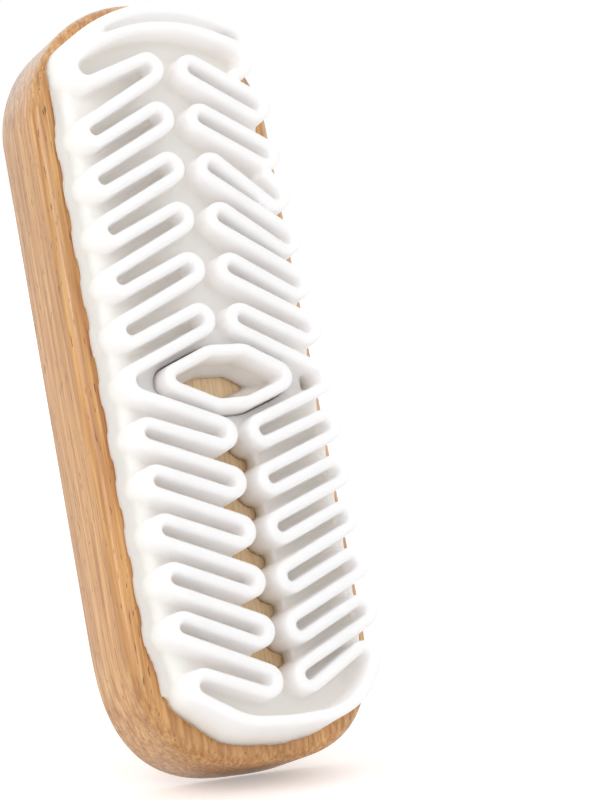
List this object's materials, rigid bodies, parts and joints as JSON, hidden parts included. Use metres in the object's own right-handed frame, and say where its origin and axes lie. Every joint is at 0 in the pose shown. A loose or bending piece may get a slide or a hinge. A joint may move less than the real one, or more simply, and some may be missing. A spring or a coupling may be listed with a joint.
{
  "type": "suede brush",
  "caption": "Suede brush: a lacquered wooden block with a white moulded rubber pad whose ridge winds down both sides round a hexagonal ring.",
  "frame": {"origin": "centre of the box, on the flat wooden back that the brush rests on", "axes": "+Z from the wooden back towards the rubber ridges, +X along the block towards its squarer end"},
  "size_m": [0.138, 0.0464, 0.0228],
  "materials": {
    "wood": "satin",
    "rubber": "satin",
    "film": "satin"
  },
  "bodies": {
    "root": {"wooden_block": "wood", "adhesive_film": "film", "rubber_pad": "rubber", "rubber_ring": "rubber"}
  },
  "joints": []
}
